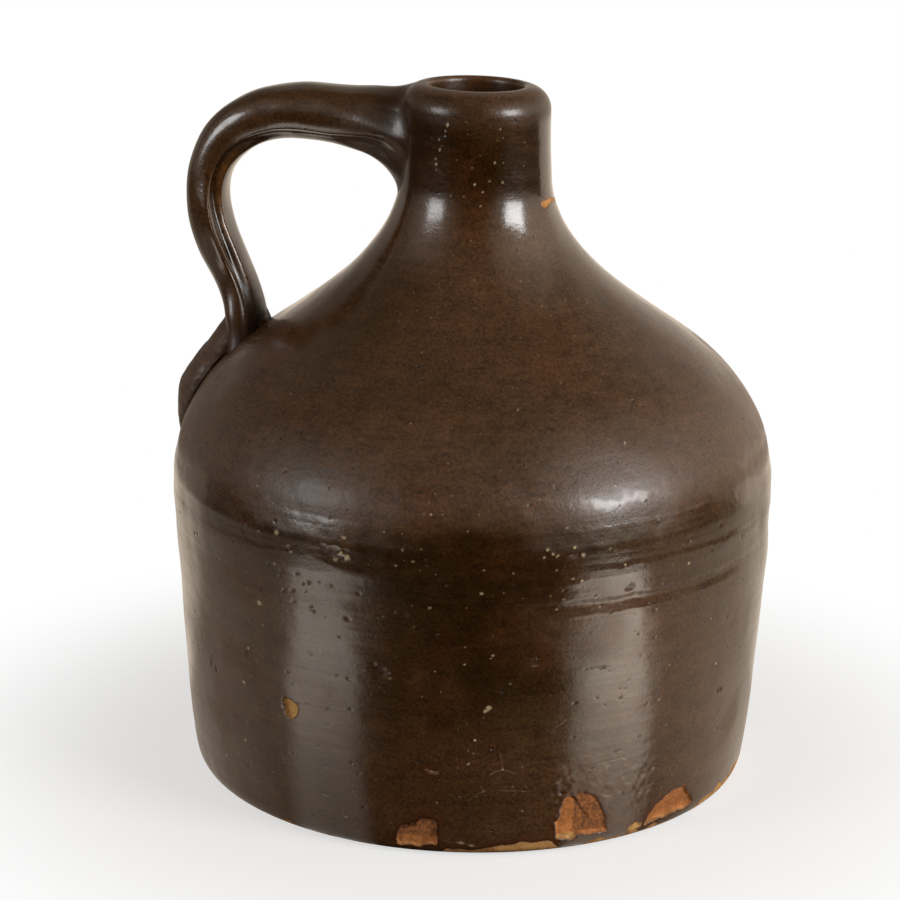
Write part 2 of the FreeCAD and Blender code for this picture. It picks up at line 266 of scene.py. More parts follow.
# ---- relief of the thrown surface
def rings(height, angle):
    """Fine lines left by the fingers on the wheel: cosine waves up the wall, 1.3 to 7 mm long, each
    fading in and out round the pot."""
    rng = np.random.default_rng(11)
    total = np.zeros(np.broadcast(height, angle).shape)
    turn = np.radians(angle)
    for length in (1.3, 1.7, 2.1, 2.6, 3.3, 4.4, 5.6, 7):
        a, b, c = rng.uniform(0, 2 * np.pi, 3)
        strength = 0.6 + 0.4 * np.cos(turn * rng.integers(1, 4) + a + height * 0.11)
        wave = np.cos(2 * np.pi * (height + 0.25 * np.cos(turn + b)) / length + c)
        total += strength * 0.0034 * length ** 0.6 * wave
    return total


# Flakes of glaze and clay that have come away: corners (angle, height), depth in mm, and how pale the
# clay under them is.
FLAKES = [
    ([(-57.5, 16.2), (-58.7, 12.2), (-59.2, 8.6), (-59, 4.8), (-57.5, 3), (-55.2, 3.4), (-54.4, 5.4),
      (-52.9, 6.8), (-52, 8.6), (-53.2, 12.1), (-54.6, 15.9), (-56.1, 17)], 1.15, 1),
    ([(-55.4, 17), (-54.9, 18), (-53.3, 17.8), (-51.4, 16.4), (-49.8, 13.3), (-48.1, 8.6), (-48, 4.3),
      (-49.9, 4), (-52.6, 4.6), (-55, 5.4)], 0.75, 0.45),
    ([(-38.8, 2.9), (-38.4, 5.8), (-36.2, 8.6), (-34.1, 10.4), (-31.7, 11.4), (-29.1, 11.4),
      (-27.2, 8.2), (-25.2, 4.8), (-27.9, 3.8), (-31.6, 3.7), (-35, 3.2)], 0.8, 0.6),
    ([(-42.9, 2.6), (-42.7, 4.1), (-41.5, 4.9), (-39.9, 4.4), (-39.6, 3.2), (-41.1, 2.3)], 0.5, 0.8),
    ([(-90.6, 2.4), (-90, 6.5), (-88.7, 9), (-87, 9.7), (-86.3, 9.1), (-85.5, 11.5), (-83.8, 12.3),
      (-82.4, 10.8), (-82, 7.9), (-82.5, 3.4), (-86.5, 2.2)], 0.8, 0.5),
    ([(-113, 40.4), (-113.5, 38.4), (-113.3, 35.6), (-112.1, 34.2), (-110.6, 35.2), (-110.3, 38.6),
      (-111.3, 40.8)], 1.2, 1.45),
    ([(-10.6, 165.9), (-11.8, 165), (-10, 164.2), (-6.5, 164.6), (-3.5, 163.6), (-2.6, 164.8),
      (-6, 166)], 0.35, 1.3),
    ([(-84.4, 26.3), (-83.9, 25.2), (-82.6, 25.2), (-82.7, 26.2), (-83.5, 26.6)], 0.35, 1.6),
]

# Pits and scars in the glaze: angle, height, half length along the wall, half height, depth, in mm.
PITS = [
    (-93.2, 54.4, 2.6, 1.2, 0.55), (-94.2, 55.6, 1, 0.8, 0.4), (-92, 53.4, 1.6, 0.7, 0.5),
    (-64.5, 57.3, 2.4, 0.55, 0.5), (-51.1, 54, 2.6, 0.35, 0.4), (-67.7, 74.3, 1.6, 0.5, 0.4),
    (-79.5, 43.6, 0.9, 0.9, 0.3), (-101.2, 86.3, 2.4, 1, 0.55), (-103.4, 86.8, 1.2, 0.8, 0.45),
    (-99, 86.6, 1.2, 0.6, 0.35), (-100.2, 84.9, 2, 0.5, 0.45), (-122.6, 49.6, 0.6, 1.5, 0.5),
    (-120.6, 47.8, 1.3, 0.6, 0.4), (-136.6, 40.2, 0.7, 1.6, 0.4), (-134.8, 39.6, 0.5, 1.4, 0.4),
    (-20.6, 36.4, 0.5, 1.2, 0.35), (-19.6, 36.2, 0.5, 1.2, 0.35), (-46.8, 28.6, 0.6, 0.5, 0.35),
    (-60, 37, 2.6, 0.4, 0.25), (-58.4, 18.2, 0.7, 0.7, 0.5), (-104.8, 14.6, 1.8, 0.7, 0.45),
    (-66.5, 102.6, 3.4, 0.4, 0.4), (-68.6, 102.9, 1.6, 0.4, 0.25), (-112.4, 77.5, 0.7, 0.7, 0.4),
    (-115.4, 78.5, 0.8, 0.6, 0.4), (-118, 71, 0.8, 1, 0.35), (-58, 86.6, 1.8, 0.6, 0.35),
    (-86, 78, 1.8, 0.7, 0.3), (-78.5, 74, 1, 0.5, 0.3), (-88, 70.5, 1.2, 0.8, 0.4),
    (-27, 80.2, 1.4, 0.5, 0.4), (-24.5, 86.4, 0.9, 0.6, 0.4), (-47, 75.6, 1.6, 0.6, 0.45),
    (130, 52, 2.2, 0.9, 0.5), (96, 31, 1.4, 1.6, 0.5), (60, 84, 2.4, 0.6, 0.4), (30, 44, 1.2, 0.8, 0.4),
    (158, 24, 1, 1.3, 0.4), (74, 103, 2, 0.4, 0.3),
]

# Small marks: angle, height, size in mm, and shade: above 0 pale crumbs and bruises, below 0 pinholes. A
# few of them are painted light and shade, as noted where they stand.
SPECKS = [
    (-101.6, 85.1, 1.5, -0.9), (-100, 85.9, 0.9, 0.9), (-101, 84.1, 1.3, 0.8), (-98.7, 84.9, 1.1, 1),
    (-99.4, 89.9, 0.7, 0.8), (-103.2, 85.9, 1.3, -0.6), (-110.6, 84.5, 0.9, -0.8), (-110.2, 83.7, 0.9, 0.7),
    (-113.5, 87.8, 0.9, 0.9), (-117.9, 86.8, 0.8, 0.5), (-113.9, 79, 1, 0.5), (-112.8, 77.5, 1.6, -0.4),
    (-118.3, 66.2, 1, 0.9), (-106.5, 76.1, 0.7, -0.9), (-107.9, 75.3, 0.6, -0.8), (-104.2, 76.7, 0.5, -0.8),
    (-109, 77.9, 0.6, -0.8), (-112.1, 72.1, 0.6, -0.9), (-110.2, 72.7, 0.6, -0.8),
    (-107.3, 73.4, 0.4, -0.7), (-106.2, 69.2, 0.6, -1), (-105.6, 68.1, 0.6, -0.9), (-96.6, 75.1, 0.6, -0.8),
    (-98.9, 67.6, 0.8, -0.9), (-101.8, 76.2, 1.2, -0.5), (-92, 92.6, 0.5, 0.6), (-88.7, 92.6, 0.4, 0.6),
    (-83.6, 98, 0.5, 0.9), (-89.6, 84.3, 0.6, 0.6), (-86.5, 85.7, 0.5, 0.8), (-88.5, 88.6, 0.5, 0.7),
    (-83.5, 73.1, 0.9, 0.7), (-84, 73.9, 0.6, -0.6), (-62.9, 88.9, 0.5, 1), (-61.9, 87.7, 0.5, 1),
    (-61, 87.2, 0.5, 0.9), (-63.5, 87, 0.5, 0.8), (-56.4, 86.9, 0.7, 0.8), (-57.8, 88.9, 0.4, 0.8),
    (-59.2, 94.1, 0.5, 0.7), (-61.3, 83.3, 0.6, 0.5), (-58.2, 80.6, 0.5, 0.9), (-56.5, 79.8, 0.6, 0.9),
    (-53.6, 74.4, 0.5, 0.9), (-52.7, 74, 0.5, 0.9), (-51.5, 73.6, 0.6, 0.9), (-45.5, 73.3, 0.5, 0.7),
    (-48.1, 82.6, 0.6, 0.7), (-51.1, 87.2, 0.7, -0.5), (-59.8, 75, 0.5, 0.6), (-60.9, 72.2, 0.5, 0.7),
    (-33.3, 85.6, 0.8, -0.9), (-33.1, 84.9, 0.8, 0.6), (-33.5, 78.8, 0.6, 1), (-40.2, 76.5, 1, -0.4),
    (-46.2, 76.5, 0.9, -0.7), (-50.5, 69.8, 0.5, -0.9), (-52.6, 72, 0.4, -0.8), (-42.4, 70.5, 0.4, -0.8),
    (-41.1, 68, 0.4, -0.7), (-74.5, 77.6, 0.6, 0.8), (-73.4, 77.2, 0.6, -0.5), (-74.1, 84, 0.4, 0.8),
    (-77.2, 62.3, 0.5, 0.6), (-72.2, 60, 0.6, 0.7), (-72.6, 59, 0.4, 0.8), (-77.3, 57.3, 0.5, 0.8),
    (-69, 51.7, 0.6, 0.5), (-72.8, 44.9, 0.9, 1), (-73.4, 44, 0.7, 0.8), (-72.3, 46.4, 0.6, -0.6),
    (-82.6, 55, 0.5, 0.6), (-83.4, 25.6, 0.9, 1), (-82.4, 25.4, 0.8, 1), (-84.2, 26.2, 0.6, 0.6),
    (-93.6, 54.6, 1, 0.5), (-92.6, 52.6, 1.5, -0.9), (-93.9, 55.4, 0.7, -0.7), (-91, 52, 0.8, 0.5),
    (-100.4, 62, 0.6, -0.6), (-104.6, 56.3, 0.9, 0.4), (-106.7, 55.1, 0.8, -0.5), (-101.3, 50.6, 0.7, -0.5),
    (-99, 50.4, 0.6, -0.5), (-103, 44, 0.5, -0.5), (-103.4, 35.7, 0.5, -0.4), (-117.6, 60, 0.5, 0.7),
    (-122.3, 51.4, 0.6, 1), (-120.2, 48, 0.5, 0.9), (-124.4, 40.4, 0.7, 0.9), (-136, 42.5, 0.7, -0.7),
    (-134.6, 39, 0.7, -0.6), (-137.2, 40.6, 0.5, 0.6), (-94.4, 21.7, 0.5, -0.8), (-100.6, 8.8, 0.6, 0.6),
    (-97.4, 23, 0.5, -0.5), (-64.6, 58.4, 1.6, -0.7), (-64.6, 56.9, 1.5, 0.45), (-50.2, 52.8, 0.6, -0.5),
    (-45.8, 49, 0.5, -0.6), (-46.4, 46.6, 0.7, -0.5), (-47.3, 44.2, 0.7, -0.9), (-47.6, 28.2, 0.7, -0.8),
    (-43.5, 55.5, 0.6, -0.4), (-20.8, 36.2, 1, -0.7), (-19.5, 36.4, 0.9, -0.6), (-31.5, 41, 1.2, -0.25),
    (-25.8, 60, 0.5, 0.6), (-58.5, 18.4, 0.9, -1), (-59.2, 21.7, 1.2, 0.35), (-57.2, 22.8, 1, 0.35),
    (-66, 14, 0.5, 0.6), (-77.6, 4.6, 1, 0.45), (-75.6, 3.6, 0.8, 0.5), (-79.4, 5.2, 0.9, -0.6),
    (-60.6, 104.2, 0.7, -0.5), (-120, 98, 0.5, 0.7), (-44, 112, 0.5, 0.7), (-66, 121, 0.5, 0.6),
    (-90, 118, 0.5, 0.6), (-58, 187.2, 0.5, 0.7), (-66, 171.5, 0.7, -0.3), (-62, 178, 0.5, 0.8),
    (-98, 188, 0.4, 1), (-100, 186, 0.35, 1), (-105, 183.5, 0.4, 1), (-104, 181, 0.35, 1),
    (-108, 178, 0.4, 1), (-107, 175, 0.35, 1), (-84, 189, 0.5, 0.4), (-77, 172, 0.5, 0.9),
    (-71, 170, 0.45, 0.8), (-56, 172.5, 0.6, 0.55), (-73, 180, 0.5, 0.35), (-60, 184, 0.6, 0.35),
    # In the crater at (-113, 38): painted shade at (-112.9, 38.2) and a painted highlight on its top rim at
    # (-112.4, 40.4).
    (-114, 37.6, 0.8, 0.6), (-112.9, 38.2, 0.9, -1), (-112.4, 40.4, 0.6, 1), (-110.4, 36.8, 0.5, -0.6),
    # From (-176.5, 123) to (-176.8, 113.2), but for one pale mark: painted shadow along the crack under the
    # handle's tail.
    (-94.6, 168.4, 0.4, 0.6), (-176.5, 123, 1.2, -1), (-172.5, 122.8, 1.3, -1), (-169.5, 121.6, 1.4, -1),
    (-168, 120.2, 1.4, -1), (-168.6, 118.6, 1.3, -1), (-170.5, 117, 1.2, -1), (-172.6, 116, 1.2, -1),
    (-174.6, 115, 1.1, -1), (-171.6, 115.2, 0.6, 0.8), (-176.8, 113.2, 1, -0.9), (-98.4, 187.6, 0.5, 1),
    (-104.6, 180.6, 0.5, 0.9), (-107.4, 176.6, 0.55, 1), (-100.6, 185, 0.5, -0.7), (-79, 176.5, 0.6, 0.4),
    (-66, 173, 0.7, 0.45), (-85, 168.6, 0.55, 0.5), (-72.4, 166.2, 0.5, 0.6), (-68.8, 176.4, 0.5, -0.5),
    (-90.5, 178.4, 0.6, 0.35),
]


def scattered(count):
    """More small marks of the same kind, at random places over the front of the wall, the belt and the
    lower shoulder: about three dents for every two pale specks."""
    rng = np.random.default_rng(29)
    angle = rng.uniform(-150, -12, count)
    height = 4 + 106 * rng.uniform(0, 1, count) ** 0.85
    size, kind = rng.uniform(0.3, 0.6, count), rng.uniform(0, 1, count)
    value = np.where(kind < 0.6, -0.95, 0.6) * rng.uniform(0.45, 1, count)
    return np.stack([angle, height, size, value], axis=1).tolist()


SPECKS += scattered(190)

# Fine scratches: from (angle, height) to (angle, height), and shade as above.
SCRATCHES = [
    (-70.5, 31.3, -69.9, 26.6, 0.5), (-69.9, 26.6, -72.3, 25.2, 0.45), (-69.9, 26.6, -67.6, 25, 0.45),
    (-70.4, 20.4, -65, 19.7, 0.45), (-76.5, 17.5, -73.2, 20.6, 0.35), (-74, 21.8, -73.2, 19, 0.4),
    (-77, 27.5, -74.8, 30.8, 0.3), (-60.4, 37.2, -58.2, 39.2, -0.6), (-62.2, 36.6, -60, 37.8, -0.4),
    (-58.6, 39.6, -56.6, 40.2, 0.4), (-55, 54.4, -51, 54.2, -0.8), (-52.2, 56.8, -48, 58.4, -0.35),
    (-73.8, 96.4, -66, 102.6, -0.15), (-70.6, 103.4, -63.4, 102.8, -0.8), (-79, 63.2, -75, 63.6, 0.25),
    (-69, 67, -61, 68, -0.3), (-88, 40.4, -84, 41.2, 0.25), (-121.8, 50.8, -119.2, 46, -0.5),
    (-124, 49.5, -122.2, 52.6, -0.4), (-102, 27, -99, 24, 0.3), (-46, 16.5, -44.4, 13.5, -0.5),
    (-44, 18.5, -41.2, 14.2, -0.5), (-43.5, 14, -42.2, 9.5, -0.5), (-40.6, 20, -37.6, 17.2, -0.4),
    (-47, 19.5, -44.6, 20.6, -0.4), (-38.6, 22, -35.6, 20.4, 0.3), (-58.6, 20, -54.4, 24.8, -0.35),
    (-54, 25.2, -46, 26.2, -0.35), (-45.6, 26, -42, 22.5, -0.35), (-81, 5, -75, 3.4, 0.4),
    (140, 60, 146, 64, 0.4), (70, 40, 64, 52, 0.3), (20, 30, 27, 33, 0.35),
]


def small_marks(points, angle, r, z):
    """Shade of the small marks at each point: the sum of their round or long hills, ragged at the
    edge, pale above 0 and dark below."""
    shade = np.zeros(points.shape[:-1])
    low, high = float(np.min(z)), float(np.max(z))
    if low < 20 and float(np.max(r)) < 60:
        return shade
    torn = 1 + 0.22 * ripple(points, 1.1, 61)
    for a, h, size, value in SPECKS:
        if h < low - 3 or h > high + 3:
            continue
        near = np.flatnonzero(np.abs(away(angle, a)) < (5 if h < 150 else 12))
        x = r * np.radians(away(angle[near], a))[None, :]
        g = ((x / (1.25 * size)) ** 2 + ((z - h) / size) ** 2) * 2.2
        shade[:, near] += value * np.exp(-g * torn[:, near])
    for a0, z0, a1, z1, value in SCRATCHES:
        if max(z0, z1) < low - 2 or min(z0, z1) > high + 2:
            continue
        near = np.flatnonzero(np.abs(away(angle, 0.5 * (a0 + a1))) < 9)
        dx, dz = math.radians(a1 - a0) * WALL, z1 - z0
        x = r * np.radians(away(angle[near], a0))[None, :]
        t = np.clip((x * dx + (z - z0) * dz) / (dx * dx + dz * dz), 0, 1)
        bow = 0.15 * np.sin(np.pi * t)
        gap = np.hypot(x - t * dx, z - z0 - t * dz - bow)
        broken = 0.5 + 0.5 * np.clip(torn[:, near] * 2 - 1, -1, 1)
        shade[:, near] += 0.8 * value * bell(gap, 0, 0.28) * broken
    return np.clip(shade, -1, 1)


def depth_inside(angle, height, radius, corners):
    """How far inside an outline points of the wall are, in mm, negative outside: the distance to the
    nearest side, and its sign from how many sides a level line from the point crosses."""
    middle = np.mean([c[0] for c in corners])
    x = radius * np.radians(away(angle, middle))
    far = np.full(np.broadcast(x, height).shape, 1e9)
    odd = np.zeros(far.shape, bool)
    scale = math.radians(1) * HEEL
    for (a0, z0), (a1, z1) in zip(corners, corners[1:] + corners[:1]):
        x0, x1 = (a0 - middle) * scale, (a1 - middle) * scale
        dx, dz = x1 - x0, z1 - z0
        t = np.clip(((x - x0) * dx + (height - z0) * dz) / (dx * dx + dz * dz), 0, 1)
        far = np.minimum(far, np.hypot(x - x0 - t * dx, height - z0 - t * dz))
        if dz != 0:
            odd ^= ((z0 > height) != (z1 > height)) & (x < x0 + (height - z0) / dz * dx)
    return np.where(odd, far, -far)


def damage(points, angle, r, z):
    """Flakes, pits and the dry line at the foot: how far they cut in, how far inside a bare place each
    point is, how pale the bare clay is there, and how dark the pits are painted, which is painted shade in
    them."""
    cut = np.zeros(points.shape[:-1])
    bare = np.full(cut.shape, GLAZED)
    pale = np.full(cut.shape, CLAY)
    dark = np.zeros(cut.shape)
    if z.min() > 182 or r.max() < 19:
        return cut, bare, pale, dark
    torn = ripples(points, (4, 41, 0.26), (1.3, 42, 0.1))
    for corners, depth, paleness in FLAKES:
        d = depth_inside(angle, z + 0 * angle, r, corners)
        near = d > GLAZED
        if not near.any():
            continue
        d = d + np.where(near, torn, 0)
        pale = np.where(d > -0.2, paleness + 0.7 * (1 - step(z, 3.6, 6.2)), pale)
        shell = 0.06 * ripple(points, 4.5, 43) + 0.05 * np.cos(d * 1.7)
        cut = np.maximum(cut, step(d, -0.1, 0.75) * (depth + shell * step(d, 0.3, 1.5)))
        bare = np.maximum(bare, np.where(near, d, GLAZED))
    for a, h, wide, tall, depth in PITS:
        x = r * np.radians(away(angle, a)) / wide
        y = (z - h) / tall
        g = np.hypot(x, y) + 0.25 * torn
        cut = np.maximum(cut, 0.35 * depth * (1 - step(g, 0.25, 1.15)))
        cut -= 0.05 * depth * bell(g, 1.45, 0.3)
        # Painted shade on the pits' floors.
        dark = np.maximum(dark, (0.85 - 0.45 * step(wide, 0.8, 1.5)) * (1 - step(g, 0.5, 1)))
    dry = 1 + ripples(points * (1, 1, 0), (26, 44, 0.6), (5, 45, 0.35))
    dry += (2.2 + step(angle, -77, -62)) * between(angle, -83, -80, -60.5, -58)
    dry = dry + 3 * between(away(angle, 0), -26, -21, 22, 34)
    pale = np.where(dry - z > bare, 1.35, pale)
    bare = np.maximum(bare, np.clip(dry - z, GLAZED, 4))
    return cut, bare, pale, dark


def glaze_tone_and_painted_shade(points, angle, z):
    """How dark the glaze is painted, 0 to 1: light on the shoulder, which is painted light where it faces
    up; dark down the middle of the front, which is painted shade; darker on the neck, the belt and part of
    the shoulder's left, lighter near the foot and on the lip, with soft uneven edges."""
    loose = ripples(points, (34, 51, 0.09), (11, 52, 0.06))
    ragged = z + ripples(points, (16, 54, 0.6), (4, 56, 0.3))
    # Darker down the middle of the front: painted shade.
    wall = 0.36 + 0.58 * bell(away(angle, FRONT - 3), 0, 25) * step(z, 20, 56)
    wall = wall * (0.62 + 0.38 * step(z, 6, 40))
    belt = 0.26 * between(ragged, 70, 79, 87.4, 89.2) + 0.16 * bell(z, 91, 4)
    up = step(ragged, 89, 100)
    top = step(z, 156, 170)
    neck = 1 - 0.35 * step(z, 181, 190)
    left = between(away(angle, FRONT - 62), -30, -6, 0, 46)
    # The shoulder stays light: painted light where it faces up.
    dome = 0.06 + 0.4 * left * step(z, 112, 138)
    lip = step(z, 191, 195.5)
    total = wall * (1 - up) + belt + up * (dome * (1 - top) + neck * top)
    total = total * (1 - 0.55 * lip)
    return np.clip(total + loose, 0, 1)


def worn(points, angle, z):
    """How matt the glaze is, 0 to 1: rubbed on the lip and on the swell of the shoulder but for a bright
    ragged band along its lower edge on the right, glossy elsewhere."""
    band = z + ripples(points, (9, 57, 0.6), (3.5, 58, 0.45))
    bright = step(away(angle, FRONT), -10, 20) * bell(band, 99.1, 1.3)
    swell = between(z, 91, 97, 108, 136) * (1 - 0.42 * bright)
    lower = 0.22 * between(z, 0, 30, 88, 95)
    top = 0.5 * step(z, 186, 189.5)
    return np.clip(0.85 * swell + lower + top + 0.08 + 0.1 * ripple(points, 18, 55), 0, 1)


def relief(along, angle):
    """How far the surface stands off the plain section, in mm, and its marks."""
    r, z, nr, nz = (v[:, None] for v in section(along))
    turn = np.radians(angle)[None, :]
    points = turned(r, z, turn)
    everywhere = np.zeros(points.shape[:-1])
    outside = between(along, FOOT - 1, FOOT + 2, RIM - 1, RIM + 1)[:, None]
    soft = ripples(points, (70, 1, 0.14), (26, 2, 0.055), (9, 3, 0.014), (4, 12, 0.0035))
    low = z + ripples(points * (1, 1, 0), (60, 4, 0.35), (11, 5, 0.13))
    low = low + ripples(points, (2.5, 6, 0.04), (5, 11, 0.07))
    # The groove under the belt, deeper to the right, the belt's raised edge, and the shoulder above it.
    side = away(angle, FRONT + 28)[None, :]
    rightward = step(side, -45, -8) * (1 - 0.85 * step(side, 14, 50)) + 0.08
    rise = -0.36 * rightward * between(low, 69.2, 72.4, 72.7, 74.5)
    rise += 0.2 * (1 - 0.55 * step(-side, 48, 80)) * between(low, 77, 81, 81.3, 83.4)
    rise += between(z, 87.5, 90, 104, 112) * ripples(points, (6.5, 7, 0.014), (3, 8, 0.006))
    # Crawled glaze between two flakes, and the fuller side that is turned from the handle.
    crawl = between(angle, -66, -60, -40, -34)[None, :] * bell(z, 16, 9)
    rise += crawl * ripples(points, (4.5, 9, 0.055), (2.2, 10, 0.03))
    full = np.maximum(0, np.cos(turn - math.radians(8))) ** 1.5
    rise += full * (1.15 * bell(z, 128, 34) + 0.75 * (1 - step(z, 62, 80)))
    lines = rings(z, angle[None, :]) * (0.25 + 0.75 * (1 - step(z, 92, 105)))
    total = outside * (soft * step(z, 0, 6) * (0.35 + 0.65 * (1 - step(z, 150, 170)))
                       + rise + lines * step(z, 1, 5))
    cut, bare, pale, dark = damage(points, angle[None, :], r, z)
    spot = small_marks(points, angle, r, z) if along[-1] > FOOT and along[0] < RIM else everywhere
    total = total - outside * (cut + 0.2 * np.maximum(-spot, 0) - 0.08 * np.maximum(spot, 0))
    # Painted shade: a dark line along the groove under the belt, and the pits' dark floors, go into the
    # dark marks.
    line = 0.42 * rightward * bell(low, 73.4, 0.8) * (0.9 + 0.45 * ripple(points, 1.8, 62))
    spot = np.clip(spot - np.maximum(line, 0) - dark, -1, 1)
    total = np.minimum(total, WIDEST - r)
    bare = np.where(outside > 0.5, bare, GLAZED if along[0] > FOOT else 3)
    # Inside the bore the glaze is painted darker, through spot and the tone mark: painted shade.
    within = step(along, RIM + 0.5, RIM + 3)[:, None]
    spot = np.clip(spot - 0.2 * within, -1, 1)
    z, angle = z + everywhere, angle[None, :]
    marks = {"bare": bare, "pale": pale, "deep": np.maximum(glaze_tone_and_painted_shade(points, angle, z), 0.7 * within),
             "thin": bell(z, 196.5, 1.4) * 0.12 * (1 - within), "spot": spot,
             "dull": worn(points, angle, z)}
    return points, total, (nr, nz), marks


def leaned(points):
    """The neck leans a little: its rim falls 1 in 41 to the right and 1 in 80 to the back, and 0.4 mm
    in all."""
    a, b = math.radians(FRONT + 90), math.radians(FRONT)
    right = points[..., 0] * math.cos(a) + points[..., 1] * math.sin(a)
    front = points[..., 0] * math.cos(b) + points[..., 1] * math.sin(b)
    points[..., 2] -= step(points[..., 2], 120, 196) * (0.0244 * right - 0.0125 * front + 0.4)
    return points


def thrown(along, angle):
    """Points of the pot's surface: the section at along, turned to angle, pushed out by relief."""
    points, rise, (nr, nz), marks = relief(along, angle)
    points = leaned(points + turned(nr, nz, np.radians(angle)[None, :]) * rise[..., None])
    points[..., 2] = np.maximum(points[..., 2], 0)
    return points, marks


def pot_piece(name, along, angle, finish, caps=(None, None)):
    """One band of the pot. Its normals come from the whole surface, one row past each end, so that
    neighbouring bands meet with no seam."""
    wide = np.concatenate([[2 * along[0] - along[1]], along, [2 * along[-1] - along[-2]]])
    wide = np.clip(wide, 0, ALONG[-1])
    points, marks = thrown(wide, angle)
    marks = {k: v[1:-1] for k, v in marks.items()}
    skin(name, points[1:-1], -squares(points)[1:-1], marks, finish, caps)


def round_the_pot(count):
    """Angles round the pot, closer together on the side that has the most wear."""
    t = np.linspace(-180, 180, 3601)
    weight = 1 - 0.76 * step(np.abs(t), 95, 125)
    total = np.concatenate([[0], np.cumsum(0.5 * (weight[1:] + weight[:-1]))])
    spots = np.arange(count) * total[-1] / count
    return FRONT + np.interp(spots, total, t)


# ---- handle
# Stations down the middle of the handle: out from the axis, height, thickness, width.
PATH = np.array([
    (31.5, 184.2, 18.2, 19.5), (37, 184.8, 16.6, 18.4), (46, 185.6, 15.7, 18),
    (55.9, 185.2, 15, 17.8), (64.3, 182.6, 14.3, 17.4), (71.2, 177.8, 13.5, 17),
    (76.2, 170.5, 12.2, 16.8), (78.1, 162, 11.5, 16.6), (77.2, 152.9, 11.2, 16.2),
    (73.8, 144.1, 11, 15.6), (70, 136.1, 10.2, 15), (67.6, 129, 9.8, 16),
    (66.6, 122, 10.2, 19.5), (66.4, 116, 10.6, 25)])


def crease(around, run):
    """The furrow along the front and inner side of the handle: how far it sinks in, in mm, at an angle
    around the handle's section and a distance down it. Its outer side slopes from lip to foot and
    its inner side rises from back to ridge. It opens into a soft hollow where the handle meets the
    neck, and runs out above the toe. The table gives run, lip, foot, back and ridge."""
    table = np.array([
        (-12, 84, 108, 112, 138), (-6, 88, 112, 120, 146), (0, 102, 120, 130, 160), (8, 114, 130, 142, 174),
        (30, 115, 131, 144, 176), (44, 110, 125, 131, 158), (58, 108, 123, 128, 152),
        (72, 106, 122, 127, 151), (88, 103, 120, 125, 151), (104, 102, 118, 124, 151)], float).T
    lip, foot, back, ridge = (np.interp(run, table[0], row) for row in table[1:])
    depth = np.interp(run, [-12, -9, -5, 0, 8, 20, 40, 58, 72, 86, 94, 102],
                      [0, 1, 2.1, 1.9, 1.1, 0.7, 1.6, 2.4, 2, 0.9, 0.3, 0])
    return depth * between(around, lip, foot, back, ridge)


def handle_grid(rows, around):
    """Ovals carried down the path, and how far down each is. A point of an oval is centre + outward *
    (thickness / 2) * c + front * (width / 2) * s, where c and s are the cosine and sine of its angle
    raised to a power that squares the oval a little."""
    run = lengths(PATH[:, :2])
    at = np.linspace(0, run[-1], rows)
    place = through(run, PATH, at)
    ahead, behind = (through(run, PATH, np.clip(at + d, 0, run[-1]))[:, :2] for d in (0.2, -0.2))
    way = unit(ahead - behind)
    level = np.zeros(rows)
    centre = np.stack([-place[:, 0], level, place[:, 1]], axis=1)
    outward = np.stack([way[:, 1], level, way[:, 0]], axis=1)
    front = np.array([0, -1, 0])
    c, s = rounded(np.cos(around), SQUARED), rounded(np.sin(around), SQUARED)
    thick, wide = place[:, 2:3] / 2 * c, place[:, 3:4] / 2 * s
    return centre[:, None, :] + outward[:, None, :] * thick[..., None] + front * wide[..., None], at


def neck_point(angle, height):
    """Points on the neck's outer surface at pairs of angle and height, and its outward direction
    there."""
    r, z, nr, nz = section(np.interp(height, PROFILE[OUTER, 1], ALONG[OUTER]))
    turn = np.radians(angle)
    return leaned(turned(r, z, turn)), turned(nr, nz, turn)


